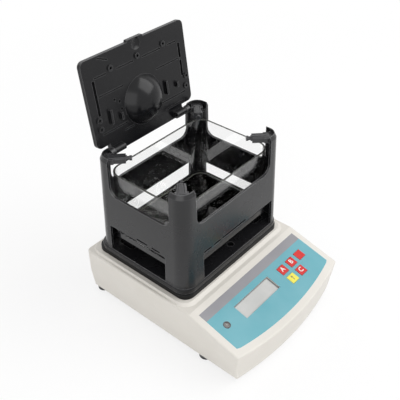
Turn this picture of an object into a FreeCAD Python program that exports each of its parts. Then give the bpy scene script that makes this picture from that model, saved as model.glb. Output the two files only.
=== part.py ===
"""Benchtop density meter: an electronic balance that carries an open measuring frame
round a clear water tank, with a hinged lid on the frame.

Millimetres, +Z up. The origin is on the table, under the middle of the housing.
+X is the user's right, -Y faces the user, and the lid stands open.
"""
import FreeCAD, Part
import os
import re
import Sketcher
from FreeCAD import Vector

# name, size (millimetres, degrees for angles), what it is
SIZES = (
    # housing
    ("housing_width", 175.0, "overall width"),
    ("housing_length", 219.0, "front of the bowed nose to the rear wall"),
    ("housing_height", 59.1, "top face above the table"),
    ("housing_base", 5.0, "underside above the table"),
    ("wall", 2.8, "moulded wall"),
    ("floor_thickness", 2.8, "floor of the lower shell"),
    ("seam_height", 9.0, "joint between the two shells"),
    ("rear_corner", 6.0, "plan radius of the rear corners"),
    ("panel_run", 71.35, "plan depth of the sloped panel at the middle"),
    ("panel_tilt", 15.36, "slope of the panel"),
    ("front_radius", 361.7, "plan radius of the bowed nose"),
    ("front_draft", 7.2, "undercut angle of the nose"),
    ("side_undercut", 4.55, "how far the side walls run in at the bottom"),
    ("rear_undercut", 2.4, "how far the rear wall runs in at the bottom"),
    ("crease_rear", 9.1, "side crease below the top face at the rear"),
    ("crease_front", 32.1, "side crease below the top face at the front"),
    ("housing_rounding", 1.8, "rounding of the outer edges"),
    ("boss_radius", 4.0, "screw bosses of the upper shell"),
    ("boss_side", 27.5, "screw bosses in from the side wall"),
    ("boss_rear", 9.5, "rear screw bosses in from the rear wall"),
    ("boss_front", 16.5, "front screw bosses in from the nose"),
    ("boss_screw", 1.5, "screws that join the shells"),
    ("inlet_left", 35.0, "power inlet left of the middle"),
    ("inlet_height", 24.0, "power inlet above the table"),
    ("inlet_radius", 4.0, "barrel of the power inlet"),
    ("inlet_bore", 2.8, "bore of the power inlet"),
    ("socket_right", 18.0, "data socket right of the middle"),
    ("socket_height", 25.0, "data socket above the table"),
    ("socket_width", 18.0, "opening for the data socket"),
    ("socket_rise", 10.0, "opening for the data socket"),
    # raised platform and deck
    ("platform_rise", 1.9, "platform above the top face"),
    ("platform_margin", 4.3, "platform beyond the deck plate"),
    ("platform_ramp", 4.0, "run of the platform's front slope"),
    ("platform_flank", 1.5, "run of the platform's other slopes"),
    ("deck_margin", 9.3, "deck plate in from the housing's side"),
    ("deck_setback", 10.45, "deck plate behind the fold of the panel"),
    ("deck_rear_margin", 8.2, "deck plate in from the housing's rear"),
    ("deck_thickness", 5.5, "deck plate"),
    ("deck_corner", 11.5, "corner radius of the deck plate"),
    ("deck_screw_inset", 12.5, "deck screws in from the plate's edge"),
    # measuring frame
    ("weigh_gap", 1.0, "free height under the weighed frame"),
    ("flange_lip", 0.4, "frame's flange beyond the deck plate's sides"),
    ("flange_front", 0.4, "flange behind the deck plate's front"),
    ("flange_rear", 3.0, "flange in from the deck plate's rear"),
    ("flange_thickness", 6.0, "flange and floor of the frame"),
    ("flange_corner", 14.0, "corner radius of the flange"),
    ("flange_rounding", 2.2, "rounding of the flange's upper edge"),
    ("foot_step", 0.6, "frame wall in from the flange at the sides"),
    ("foot_front_step", 0.4, "frame wall in from the flange at the front"),
    ("foot_rear_step", 3.6, "frame wall in from the flange at the rear"),
    ("frame_height", 110.5, "flange to the tops of the posts"),
    ("side_lean", 2.8, "how far the side walls lean in over the height"),
    ("front_lean", 3.0, "how far the front wall leans in"),
    ("rear_lean", 3.9, "how far the rear wall leans in"),
    ("foot_corner", 15.0, "corner radius at the foot"),
    ("head_corner", 13.0, "corner radius at the head, also the posts' radius"),
    ("shell", 2.8, "wall of the measuring frame"),
    ("head_bevel_height", 4.5, "bevelled rim on the posts"),
    ("head_bevel_angle", 26.0, "lean of the bevelled rim"),
    ("post_leg", 4.6, "post beyond its axis, along each wall"),
    ("saddle_height", 70.0, "top of the walls above the flange"),
    ("saddle_radius", 10.0, "fillet from a wall's top into a post"),
    ("window_height", 31.0, "windows above the flange"),
    ("window_corner", 1.5, "corner radius of the windows"),
    ("side_window_front", 10.7, "side window's front edge behind the post's axis"),
    ("side_window_rear", 1.4, "side window's rear edge before the post's axis"),
    ("front_window_left", 12.2, "front window's left edge inside the post's axis"),
    ("front_window_right", -0.8, "front window's right edge inside the post's axis"),
    ("pocket_height", 2.2, "shallow pockets over the windows"),
    ("pocket_rise", 1.1, "pockets above the window's edge"),
    ("pocket_depth", 2.0, "pockets into the wall"),
    ("drain_radius", 3.8, "hole in the frame's floor"),
    ("drain_side", 7.0, "hole right of the middle"),
    ("drain_front", 12.5, "hole behind the flange's front edge"),
    ("leg_clearance", 3.5, "floor openings round the stand's legs"),
    # arms in the post heads
    ("seat_drop", 9.5, "arm seats below the posts' tops"),
    ("seat_thickness", 3.0, "web that each arm stands on"),
    ("seat_chord", 5.5, "straight edge of that web outside the post's axis"),
    ("plug_clearance", 0.2, "arm plug inside the post"),
    ("plug_height", 5.7, "plug of an arm"),
    ("plug_half", 6.2, "half width of the plug"),
    ("arm_width", 9.6, "arm block"),
    ("arm_height", 6.4, "arm block"),
    ("arm_bevel", 1.3, "upper edges of the arm block"),
    ("arm_reach", 12.0, "arm block beyond the post's axis"),
    ("arm_groove", 1.1, "grooves along the arm"),
    ("collar_radius", 3.0, "round collar on the arm's end"),
    ("collar_length", 1.2, "collar"),
    ("neck_radius", 2.0, "neck of the hanging stud"),
    ("neck_length", 2.4, "neck"),
    ("stud_radius", 2.6, "head of the hanging stud"),
    ("stud_length", 2.4, "head"),
    ("arm_screw_radius", 1.0, "screw that holds each arm"),
    ("arm_screw_offset", 8.0, "screw outside the post's axis"),
    # tank stand and tank
    ("tank_side_gap", 2.8, "tank inside the frame's head at the sides"),
    ("tank_front_gap", 4.6, "tank behind the frame's front wall"),
    ("tank_rear_gap", 6.6, "tank before the frame's rear wall"),
    ("tank_headroom", 9.0, "tank's rim below the arms"),
    ("tank_wall", 2.2, "clear wall"),
    ("tank_corner", 15.0, "outer corner radius"),
    ("tank_clearance", 0.4, "tank inside the stand's lip"),
    ("stand_height", 25.5, "tank's underside above the deck plate"),
    ("stand_plate", 3.5, "plate of the stand"),
    ("stand_lip", 1.5, "lip at the sides"),
    ("stand_end_lip", 2.8, "lip at the front and rear"),
    ("stand_lip_height", 2.5, "lip above the plate"),
    ("leg_side", 9.0, "leg along X"),
    ("leg_depth", 14.0, "leg along Y"),
    ("leg_inset", 13.5, "leg's middle in from the stand's side"),
    ("leg_end_inset", 16.0, "leg's middle in from the stand's ends"),
    ("rib_thickness", 2.0, "ribs under the stand's plate"),
    ("rib_depth", 5.0, "ribs under the stand's plate"),
    ("cluster_radius", 8.2, "ring of drain holes"),
    ("cluster_hole", 3.4, "drain hole"),
    ("cluster_right", 23.6, "right clusters in from the tank's side"),
    ("cluster_left", 42.6, "left clusters in from the tank's side"),
    ("cluster_rear", 22.0, "rear clusters before the stand's rear edge"),
    ("cluster_pitch", 38.0, "between rear and front clusters"),
    # lid
    ("hinge_inset", 3.7, "hinge axis before the frame's rear face"),
    ("hinge_drop", 6.3, "hinge axis below the posts' tops"),
    ("hinge_radius", 3.6, "round knuckles of the hinge"),
    ("knuckle_length", 14.0, "knuckle"),
    ("web_reach", 4.6, "flat web behind the hinge axis"),
    ("ear_gap", 0.5, "knuckle to each ear"),
    ("ear_length", 5.0, "ear on the post"),
    ("ear_root", 0.4, "ear inside the post"),
    ("ear_radius", 4.0, "ear on the post"),
    ("pin_radius", 1.5, "hinge pin"),
    ("pin_fit", 0.05, "running clearance on the pin"),
    ("pin_engagement", 7.0, "pin inside the knuckle"),
    ("lid_angle", 97.9, "how far the lid stands open"),
    ("lid_side_gap", 3.5, "lid inside the frame's head at the sides"),
    ("lid_front_gap", 15.5, "lid's front edge behind the frame's front face"),
    ("lid_root", 7.0, "rear edge of the panel from the hinge axis"),
    ("lid_thickness", 5.0, "lid panel"),
    ("lid_offset", 3.4, "underside above the hinge axis when closed"),
    ("lid_corner", 6.0, "corner radius of the lid"),
    ("tab_reach", 1.9, "finger tab beyond the edge"),
    ("tab_half", 10.0, "half width of the finger tab"),
    ("tab_shift", 1.5, "finger tab right of the middle"),
    ("dish_distance", 33.8, "middle of the dish from the hinge axis"),
    ("dish_radius", 25.6, "dish at the lid's underside"),
    ("dish_depth", 15.5, "dish below the underside"),
    ("dish_wall", 2.5, "wall of the dish"),
    ("line_width", 1.2, "fine grooves in the underside"),
    ("line_depth", 1.0, "fine grooves"),
    ("slot_width", 3.0, "wide slots in the underside"),
    ("slot_depth", 2.0, "wide slots"),
    ("ring_outer", 3.0, "small bosses on the underside"),
    ("ring_inner", 1.5, "hole in the small bosses"),
    ("ring_height", 1.4, "small bosses"),
    ("dot_radius", 1.3, "small round pits in the underside"),
    ("hook_height", 3.0, "clips on the underside"),
    ("hook_width", 2.4, "clips, and nearly the slot beside each"),
    ("scoop_radius", 6.3, "finger scoop"),
    ("scoop_depth", 1.8, "finger scoop"),
    ("scoop_inset", 3.9, "finger scoop's middle in from the edge"),
    # panel, distances are measured down the slope from the fold
    ("recess_depth", 0.4, "shallow recess for the overlay"),
    ("overlay_thickness", 0.5, "overlay and header strip"),
    ("overlay_margin", 7.7, "overlay in from the housing's side"),
    ("overlay_nick", 3.5, "bevelled lower corners of the overlay"),
    ("header_top", 6.8, "header strip from the fold"),
    ("header_bottom", 16.9, "header strip to the overlay"),
    ("overlay_side", 55.5, "overlay's side edge ends"),
    ("overlay_radius", 346.7, "bowed lower edge"),
    ("window_left", 33.8, "display window in from the overlay's left edge"),
    ("window_right", 69.4, "display window in from the overlay's right edge"),
    ("window_top", 24.0, "display window"),
    ("window_bottom", 41.5, "display window"),
    ("window_clearance", 0.2, "display window in its opening"),
    ("window_sink", 1.9, "display window below the surface"),
    ("key_width", 10.5, "key across"),
    ("key_length", 9.7, "key down the slope"),
    ("key_clearance", 0.3, "key in its opening"),
    ("key_rise", 0.6, "key above the slope"),
    ("key_flange", 1.0, "rim that keeps a key in"),
    ("key_travel", 0.4, "key's travel"),
    ("level_side", 12.8, "level in from the overlay's left edge"),
    ("level_down", 32.5, "level from the fold"),
    ("level_radius", 4.0, "level's ring"),
    ("board_thickness", 1.6, "circuit boards"),
    ("board_side", 29.5, "main board in from the housing's side"),
    ("board_front", 25.0, "main board behind the nose"),
    ("board_rear", 14.0, "main board behind the fold of the panel"),
    # weighing gear
    ("chassis_thickness", 2.5, "steel chassis plate"),
    ("chassis_side", 15.5, "chassis plate in from the housing's side"),
    ("chassis_front", 50.0, "chassis plate before the frame's middle"),
    ("chassis_rear", 44.0, "chassis plate behind the frame's middle"),
    ("chassis_screw_inset", 8.0, "chassis screws in from the plate's side"),
    ("chassis_screw_depth", 38.0, "chassis screws from the frame's middle"),
    ("spacer_height", 6.0, "spacer under the load cell"),
    ("cell_length", 130.0, "load cell"),
    ("cell_width", 30.0, "load cell"),
    ("cell_height", 22.0, "load cell"),
    ("eye_radius", 8.0, "two joined eyes through the load cell"),
    ("eye_offset", 14.0, "eyes from the middle"),
    ("eye_slit", 4.0, "slit that joins the eyes"),
    ("clamp_length", 30.0, "spacers along the load cell"),
    ("carrier_gap", 4.0, "spacer over the load cell"),
    ("carrier_thickness", 3.0, "carrier plate"),
    ("riser_radius", 4.0, "risers to the frame"),
    ("riser_side", 22.0, "risers inside the tank stand's legs"),
    ("riser_depth", 28.0, "risers from the frame's middle"),
    ("riser_clearance", 2.5, "openings round the risers"),
    ("spigot_radius", 2.5, "riser's spigot in the frame's floor"),
    ("spigot_length", 3.5, "riser's spigot"),
    # feet
    ("foot_side", 12.0, "feet in from the side walls"),
    ("foot_rear", 8.7, "rear feet in from the rear wall"),
    ("foot_front", 59.0, "front feet in from the nose"),
    ("foot_radius", 7.2, "rubber pad"),
    ("foot_pad_height", 2.6, "rubber pad"),
    ("foot_wheel_height", 2.0, "thumb wheel"),
    ("foot_wheel_radius", 7.4, "thumb wheel"),
    ("thread_radius", 3.0, "foot screw"),
    ("thread_fit", 0.05, "running clearance of the foot screw"),
    ("bush_radius", 4.5, "threaded bush"),
    ("bush_wall", 1.4, "moulding round each bush"),
    ("bush_gap", 0.1, "threaded bush below the joint between the shells"),
    ("foot_screw_length", 12.0, "foot screw above its wheel"),
)

# places and lengths that follow from the sizes above
DERIVED = {
    "half_width": "housing_width / 2",
    "crease_rear_z": "housing_height - crease_rear",
    "crease_front_z": "housing_height - crease_front",
    "rear_y": "housing_length / 2",
    "front_y": "-housing_length / 2",
    "fold_y": "front_y + panel_run",
    "ridge_z": "housing_height - panel_run * tan(panel_tilt)",
    "deck_half": "half_width - deck_margin",
    "deck_front": "fold_y + deck_setback",
    "deck_rear": "rear_y - deck_rear_margin",
    "deck_z": "housing_height + platform_rise",
    "deck_top": "deck_z + deck_thickness",
    "flange_half": "deck_half + flange_lip",
    "flange_y0": "deck_front + flange_front",
    "flange_y1": "deck_rear - flange_rear",
    "flange_z": "deck_top + weigh_gap",
    "flange_top": "flange_z + flange_thickness",
    "foot_half": "flange_half - foot_step",
    "foot_y0": "flange_y0 + foot_front_step",
    "foot_y1": "flange_y1 - foot_rear_step",
    "head_half": "foot_half - side_lean",
    "head_y0": "foot_y0 + front_lean",
    "head_y1": "foot_y1 - rear_lean",
    "frame_top": "flange_top + frame_height",
    "bevel_z": "frame_top - head_bevel_height",
    "post_x": "head_half - head_corner",
    "post_y0": "head_y0 + head_corner",
    "post_y1": "head_y1 - head_corner",
    "middle_y": "(post_y0 + post_y1) / 2",
    "saddle_z": "flange_top + saddle_height",
    "window_z": "flange_top + window_height",
    "seat_z": "frame_top - seat_drop",
    "seat_radius": "head_corner - shell",
    "arm_axis": "arm_height / 2",
    "tank_half": "head_half - shell - tank_side_gap",
    "tank_y0": "head_y0 + shell + tank_front_gap",
    "tank_y1": "head_y1 - shell - tank_rear_gap",
    "tank_z": "deck_top + stand_height",
    "tank_height": "seat_z - tank_headroom - tank_z",
    "stand_half": "tank_half + tank_clearance + stand_lip",
    "stand_y0": "tank_y0 - tank_clearance - stand_end_lip",
    "stand_y1": "tank_y1 + tank_clearance + stand_end_lip",
    "leg_x": "stand_half - leg_inset",
    "leg_y0": "stand_y0 + leg_end_inset",
    "leg_y1": "stand_y1 - leg_end_inset",
    "hinge_y": "head_y1 - hinge_inset",
    "hinge_z": "frame_top - hinge_drop",
    "hinge_half": "post_x - post_leg + ear_root - ear_length - ear_gap",
    "lid_half": "head_half - shell - lid_side_gap",
    "lid_tip": "hinge_y - head_y0 - lid_front_gap",
    "dish_sphere": "(dish_radius * dish_radius + dish_depth * dish_depth) / (2 * dish_depth)",
    "dish_centre": "dish_depth - dish_sphere - lid_offset",
    "overlay_half": "half_width - overlay_margin",
    "window_x0": "window_left - overlay_half",
    "window_x1": "overlay_half - window_right",
    "level_x": "level_side - overlay_half",
    "chassis_half": "half_width - chassis_side",
    "chassis_z": "housing_base + floor_thickness",
    "spacer_z": "chassis_z + chassis_thickness",
    "cell_z": "spacer_z + spacer_height",
    "carrier_z": "cell_z + cell_height + carrier_gap",
    "riser_z": "carrier_z + carrier_thickness",
    "riser_x": "leg_x - riser_side",
    "board_z": "chassis_z + 8",
    "board_half": "half_width - board_side",
    "bush_height": "seam_height - housing_base - bush_gap",
    "scoop_sphere": "(scoop_radius * scoop_radius + scoop_depth * scoop_depth) / (2 * scoop_depth)",
    "foot_x": "half_width - foot_side",
    "foot_back": "rear_y - foot_rear",
    "foot_fore": "front_y + foot_front",
}

# middles of the keys on the panel: from the overlay's right edge, down the slope
KEYS = {
    "key_red_1": ("overlay_half - 49.5", "30.3"),
    "key_red_2": ("overlay_half - 33.8", "30.3"),
    "key_red_3": ("overlay_half - 18.4", "30.3"),
    "key_red_4": ("overlay_half - 33.8", "44.0"),
    "key_yellow": ("overlay_half - 49.5", "44.0"),
}

# shallow pockets over the windows: from and to, behind or right of the front left post's axis
SIDE_POCKETS = ((17.5, 28.8), (34.2, 49.0))
FRONT_POCKETS = ((12.8, 24.3), (27.7, 38.4), (40.9, 79.3))

# the lid's underside: places across and from the hinge axis, tied to the edge that each is near
LINES = (("12.9 - lid_half", "-41", "lid_tip - 19.5"), ("-28.4", "-4.9", "lid_tip - 19.5"),
         ("6.7", "32.8", "lid_tip - 19.5"), ("43.1", "lid_half - 12.9", "lid_tip - 19.5"),
         ("13.9 - lid_half", "-23", "lid_tip - 38.2"), ("23", "lid_half - 12.9", "lid_tip - 38.2"),
         ("9.9 - lid_half", "-25.5", "19.5"), ("25.5", "lid_half - 8.9", "19.5"), ("-31", "-17.5", "12.8"),
         ("29", "lid_half - 10.9", "10.0"))
WIDE_SLOTS = (("11.1 - lid_half", "39.0", "lid_tip - 21.5"),
              ("lid_half - 9.6", "lid_tip - 38.0", "lid_tip - 22.5"),
              ("lid_half - 9.6", "37.3", "lid_tip - 40.8"))
RINGS = (("-35.0", "lid_tip - 16.1"), ("0.3", "lid_tip - 16.0"), ("36.5", "lid_tip - 15.9"),
         ("8.9 - lid_half", "35.2"), ("9.0 - lid_half", "25.9"), ("lid_half - 4.9", "35.6"),
         ("lid_half - 6.9", "25.2"))
CLIPS = ((-45.5, 26.1, 41.1), (32.9, 26.6, 41.2), (-32.4, 25.8, 33.3), (48.6, 28.8, 34.8))
DOTS = ((-30.8, 43.8), (-29.8, 35.6), (-37.0, 47.8))
NOTCH = (("-48.5", "lid_tip - 2.9"), ("-47.9", "lid_tip - 1.6"), ("-36.0", "lid_tip - 6.6"),
         ("-36.6", "lid_tip - 7.9"))

ENDS = ("y0", "y1")
SIGNS = ("-", "")
CORNERS = (("fl", "-", "0", 45), ("fr", "", "0", 135), ("rr", "", "1", 225), ("rl", "-", "1", 315))

doc = FreeCAD.newDocument("DensityMeter")
sheet = doc.addObject("Spreadsheet::Sheet", "Sizes")
for row, (alias, size, meaning) in enumerate(SIZES, start=1):
    sheet.set("A%d" % row, alias)
    sheet.set("B%d" % row, str(size))
    sheet.set("C%d" % row, meaning)
    sheet.setAlias("B%d" % row, alias)
doc.recompute()
NAMES = {alias for alias, size, meaning in SIZES}
parts = []


def formula(text):
    """Spell a text of named sizes as an expression on the sheet."""
    def spelled(match):
        word = match.group(0)
        if word in DERIVED:
            return "(" + formula(DERIVED[word]) + ")"
        return "Sizes." + word if word in NAMES else word
    return re.sub(r"\b[a-z][a-z_0-9]*\b", spelled, text)


def value(text):
    """Number that a text of named sizes comes to."""
    return float(sheet.evalExpression(formula(text)))


def bind(thing, prop, text):
    """Drive a property of a document object from the sheet."""
    thing.setExpression(prop, formula(text))


def plus(first, second):
    return "(%s) + (%s)" % (first, second)


def minus(first, second):
    return "(%s) - (%s)" % (first, second)


def neg(text):
    return "-(%s)" % text


def signed(sign, text):
    return "%s(%s)" % (sign, text)


# ---- sketches ---------------------------------------------------------------------------

def hold(sketch, element, point, x, y):
    """Hold a point of a sketch element at sheet-driven coordinates."""
    for kind, axis, text in (("DistanceX", -2, x), ("DistanceY", -1, y)):
        if text == "0":
            sketch.addConstraint(Sketcher.Constraint("PointOnObject", element, point, axis))
            continue
        driven = sketch.addConstraint(Sketcher.Constraint(kind, -1, 1, element, point, value(text)))
        bind(sketch, "Constraints[%d]" % driven, text)


def hold_radius(sketch, element, text):
    driven = sketch.addConstraint(Sketcher.Constraint("Radius", element, value(text)))
    bind(sketch, "Constraints[%d]" % driven, text)


def arc_middle(start, end, radius):
    """Middle of the short arc between two points; a positive radius turns left on the way."""
    half = (end - start) / 2
    across = Vector(half.y, -half.x, 0).normalize()
    rise = abs(radius) - max(radius * radius - half.Length ** 2, 0) ** 0.5
    return start + half + across * (rise if radius > 0 else -rise)


def add_circle(sketch, x, y, radius):
    centre = Vector(value(x), value(y), 0)
    element = sketch.addGeometry(Part.Circle(centre, Vector(0, 0, 1), value(radius)))
    hold(sketch, element, 3, x, y)
    hold_radius(sketch, element, radius)


def add_outline(sketch, corners):
    """Closed outline of corners (x, y); with a third text, an arc of that radius leads on."""
    points = [Vector(value(corner[0]), value(corner[1]), 0) for corner in corners]
    ends = []
    for corner, start, end in zip(corners, points, points[1:] + points[:1]):
        if len(corner) == 2:
            element = sketch.addGeometry(Part.LineSegment(start, end))
            ends.append((element, 1, 2))
            continue
        radius = value(corner[2])
        element = sketch.addGeometry(Part.Arc(start, arc_middle(start, end, radius), end))
        ends.append((element, 1, 2) if radius > 0 else (element, 2, 1))
    for corner, here, before in zip(corners, ends, ends[-1:] + ends[:-1]):
        sketch.addConstraint(Sketcher.Constraint("Coincident", before[0], before[2], here[0], here[1]))
        hold(sketch, here[0], here[1], corner[0], corner[1])
        if len(corner) == 3:
            hold_radius(sketch, here[0], corner[2].lstrip("-"))


def rounded(x0, x1, y0, y1, radius):
    """Rectangle with round corners."""
    return [(plus(x0, radius), y0), (minus(x1, radius), y0, radius),
            (x1, plus(y0, radius)), (x1, minus(y1, radius), radius),
            (minus(x1, radius), y1), (plus(x0, radius), y1, radius),
            (x0, minus(y1, radius)), (x0, plus(y0, radius), radius)]


def rectangle(x0, x1, y0, y1):
    return [(x0, y0), (x1, y0), (x1, y1), (x0, y1)]


def around(x, y, width, height):
    """Rectangle about a middle point."""
    return rectangle(minus(x, "(%s) / 2" % width), plus(x, "(%s) / 2" % width),
                     minus(y, "(%s) / 2" % height), plus(y, "(%s) / 2" % height))


def ring_of(x, y, radius):
    """Outline that is one circle."""
    return [(x, y, radius)]


# ---- bodies -----------------------------------------------------------------------------

class Piece:
    """A PartDesign body, with one call for each kind of feature it is made of."""

    def __init__(self, label, several=False):
        self.body = doc.addObject("PartDesign::Body", label)
        self.body.Label = label
        self.body.AllowCompound = several

    def plane(self, role):
        return next(part for part in self.body.Origin.OriginFeatures if part.Role == role)

    def draw(self, name, outlines, role="XY_Plane", at="0"):
        """Sketch on an origin plane, moved to a place along the axis that the plane crosses."""
        sketch = self.body.newObject("Sketcher::SketchObject", name)
        sketch.AttachmentSupport = [(self.plane(role), "")]
        sketch.MapMode = "FlatFace"
        bind(sketch, "AttachmentOffset.Base.z", neg(at) if role == "XZ_Plane" else at)
        for corners in outlines:
            if len(corners) == 1:
                add_circle(sketch, *corners[0])
            else:
                add_outline(sketch, corners)
        return sketch

    def feature(self, kind, name, sketch, length, back=False, both=False, taper=None):
        made = self.body.newObject("PartDesign::" + kind, name)
        made.Profile = sketch
        made.Reversed = back
        if both:
            made.SideType = "Symmetric"
        bind(made, "Length", length)
        if taper:
            bind(made, "TaperAngle", taper)
        return made

    def pad(self, name, sketch, length, **options):
        return self.feature("Pad", name, sketch, length, **options)

    def pocket(self, name, sketch, length="2 * housing_length", **options):
        return self.feature("Pocket", name, sketch, length, **options)

    def loft(self, kind, name, first, last):
        made = self.body.newObject("PartDesign::" + kind, name)
        made.Profile = first
        made.Sections = [last]
        made.Ruled = True
        return made

    def turn(self, kind, name, sketch):
        """Full turn about the sketch's own upright axis."""
        made = self.body.newObject("PartDesign::" + kind, name)
        made.Profile = sketch
        made.ReferenceAxis = (sketch, ["V_Axis"])
        made.Angle = 360
        return made

    def dress(self, kind, name, size, picks):
        """Round or bevel the edges that a test picks."""
        doc.recompute()
        base = self.body.Tip
        edges = ["Edge%d" % place for place, edge in enumerate(base.Shape.Edges, start=1) if picks(edge)]
        made = self.body.newObject("PartDesign::" + kind, name)
        made.Base = (base, edges)
        bind(made, "Radius" if kind == "Fillet" else "Size", size)
        return made

    def place(self, x, y, z, axis="vector(0; 0; 1)", angle="0"):
        """Stand the body at a sheet-driven place and turn."""
        base = "vector(%s; %s; %s)" % (formula(x), formula(y), formula(z))
        turn = "rotation(%s; %s)" % (axis, formula(angle))
        self.body.setExpression("Placement", "placement(%s; %s)" % (base, turn))

    def keep(self):
        parts.append(self.body)
        return self.body


def turned(label, places, steps, bores=()):
    """Round stepped pieces on upright axes: each step or bore is (from z, to z, radius)."""
    piece = Piece(label, several=len(places) > 1)
    for kind, stages in (("Pad", steps), ("Pocket", bores)):
        for count, (low, high, radius) in enumerate(stages, start=1):
            circles = [ring_of(x, y, radius) for x, y in places]
            sketch = piece.draw("%s_%s_circles_%d" % (label, kind, count), circles, at=low)
            piece.feature(kind, "%s_%s_%d" % (label, kind, count), sketch, minus(high, low),
                          back=kind == "Pocket")
    return piece


def boolean(kind, label, base, tools):
    """Part boolean of one base with one or more tools."""
    if kind == "MultiFuse":
        made = doc.addObject("Part::MultiFuse", label)
        made.Shapes = [base] + tools
    else:
        tool = tools[0] if len(tools) == 1 else boolean("MultiFuse", label + "_tools", tools[0], tools[1:])
        made = doc.addObject("Part::" + kind, label)
        made.Base = base
        made.Tool = tool
    made.Label = label
    return made


def keep(thing):
    parts.append(thing)
    return thing


def on_panel(piece):
    """Put a body on the sloped panel: x across, y up the slope, z out of it."""
    piece.place("0", "fold_y", "housing_height", "vector(1; 0; 0)", "panel_tilt")


def down(text):
    """Sketch coordinate of a distance down the slope from the fold."""
    return neg(text)


# ---- housing ----------------------------------------------------------------------------

def side_wedge(piece, sign, inset):
    """Run one side wall in below its crease."""
    half = minus("half_width", inset)
    sections = []
    ends = (("rear", "rear_y + 5", "crease_rear_z"), ("front", "front_y - 15", "crease_front_z"))
    for name, y, crease in ends:
        corners = [(minus(half, "side_undercut"), "housing_base"), (plus(half, "5"), "housing_base"),
                   (plus(half, "5"), crease), (half, crease)]
        corners = [(signed(sign, x), z) for x, z in corners]
        sections.append(piece.draw("wedge_%s" % name, [corners], "XZ_Plane", y))
    piece.loft("SubtractiveLoft", "side_wedge", *sections)


def nose_section(piece, name, z, inset):
    """Everything in front of the bowed nose, at one height."""
    reach = "(half_width + 20)"
    radius = "(front_radius - %s)" % inset
    crown = "front_y + tan(front_draft) * (ridge_z - (%s)) + %s" % (z, inset)
    side = "%s + %s - sqrt(%s * %s - %s * %s)" % (crown, radius, radius, radius, reach, reach)
    corners = [(neg(reach), "front_y - 40"), (reach, "front_y - 40"), (reach, side, neg(radius)),
               (neg(reach), side)]
    return piece.draw(name, [corners], at=z)


def housing_form(label, inset, low, high):
    """Form of the housing between two heights, with every wall moved inward by the inset."""
    piece = Piece(label)
    half = minus("half_width", inset)
    rear = minus("rear_y", inset)
    corner = minus("rear_corner", inset)
    plan = [(neg(half), "front_y - 10"), (half, "front_y - 10"), (half, minus(rear, corner), corner),
            (minus(half, corner), rear), (minus(corner, half), rear, corner),
            (neg(half), minus(rear, corner))]
    piece.pad("block", piece.draw("plan", [plan], at=low), minus(high, low))

    fold = "fold_y - %s * (1 / cos(panel_tilt) - 1) / tan(panel_tilt)" % inset
    far = "front_y - 10"
    slope_end = "housing_height - (fold_y - (%s)) * tan(panel_tilt) - %s / cos(panel_tilt)" % (far, inset)
    slope = [(fold, high), (plus(fold, "0.01"), plus(high, "20")), (far, plus(high, "20")), (far, slope_end)]
    piece.pocket("slope", piece.draw("slope_profile", [slope], "YZ_Plane"), both=True)

    nose = [nose_section(piece, name, z, inset)
            for name, z in (("nose_low", minus(low, "1")), ("nose_high", plus(high, "5")))]
    piece.loft("SubtractiveLoft", "nose", *nose)
    for sign in SIGNS:
        side_wedge(piece, sign, inset)
    heel = [(minus(rear, "rear_undercut"), "housing_base"), (rear, "crease_rear_z"),
            (plus(rear, "5"), "crease_rear_z"), (plus(rear, "5"), "housing_base")]
    piece.pocket("heel", piece.draw("heel_profile", [heel], "YZ_Plane"), both=True)
    return piece


def outer_edges(edge):
    """Edges round the top and the nose, and the upright corners of the nose."""
    box = edge.BoundBox
    on_top = box.ZMin > value("housing_height") - 0.01
    along_fold = on_top and abs(box.YMax - value("fold_y")) < 0.01 and box.YLength < 0.01
    on_slope = box.ZMin > value("ridge_z") - 1 and box.YMax < value("fold_y") + 0.01
    nose_corner = box.ZLength > 5 and box.YMax < value("fold_y") - 20 and box.XLength < 6
    return (on_top or on_slope or nose_corner) and not along_fold


def screw_bosses():
    """Bosses of the upper shell: upright tubes from the seam to the ceiling."""
    x = "half_width - boss_side"
    rear = "rear_y - boss_rear"
    fore = "front_y + boss_front"
    ceiling = "housing_height - (fold_y - (%s)) * tan(panel_tilt) - wall / 2" % fore
    tubes = []
    for name, y, top in (("rear", rear, "housing_height - wall / 2"), ("front", fore, ceiling)):
        places = [(signed(sign, x), y) for sign in SIGNS]
        tubes.append(turned("bosses_" + name, places, [("seam_height", top, "boss_radius")],
                            [("seam_height", "seam_height + 16", "boss_screw")]).body)
    screws = [(signed(sign, x), y) for sign in SIGNS for y in (rear, fore)]
    return tubes, screws


def platform():
    """Raised platform under the deck plate, sloped on all sides and most at the front."""
    piece = Piece("platform")
    half = "deck_half + platform_margin"
    front = "deck_front - platform_margin / 2"
    rear = "deck_rear + platform_margin"
    low = ("low", "housing_height - platform_rise", "2 * platform_ramp", "2 * platform_flank")
    sections = []
    for name, z, ramp, flank in (low, ("high", "deck_z", "0", "0")):
        plan = rounded(neg(plus(half, flank)), plus(half, flank), minus(front, ramp), plus(rear, flank),
                       plus("deck_corner", flank))
        sections.append(piece.draw("platform_" + name, [plan], at=z))
    piece.loft("AdditiveLoft", "platform_loft", *sections)
    return piece.body


def riser_places():
    return [(signed(sign, "riser_x"), "middle_y %s riser_depth" % way)
            for sign in SIGNS for way in ("-", "+")]


def deck_screw_places():
    return [(signed(sign, "deck_half - deck_screw_inset"), y) for sign in SIGNS
            for y in ("deck_front + deck_screw_inset", "deck_rear - deck_screw_inset")]


def key_window(key, margin):
    x, slope = KEYS[key]
    across = "(key_width / 2 + %s)" % margin
    along = "(key_length / 2 + %s)" % margin
    return rectangle(minus(x, across), plus(x, across), minus(down(slope), along), plus(down(slope), along))


def display_window(margin):
    return rectangle(minus("window_x0", margin), plus("window_x1", margin),
                     minus(down("window_bottom"), margin), plus(down("window_top"), margin))


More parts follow.
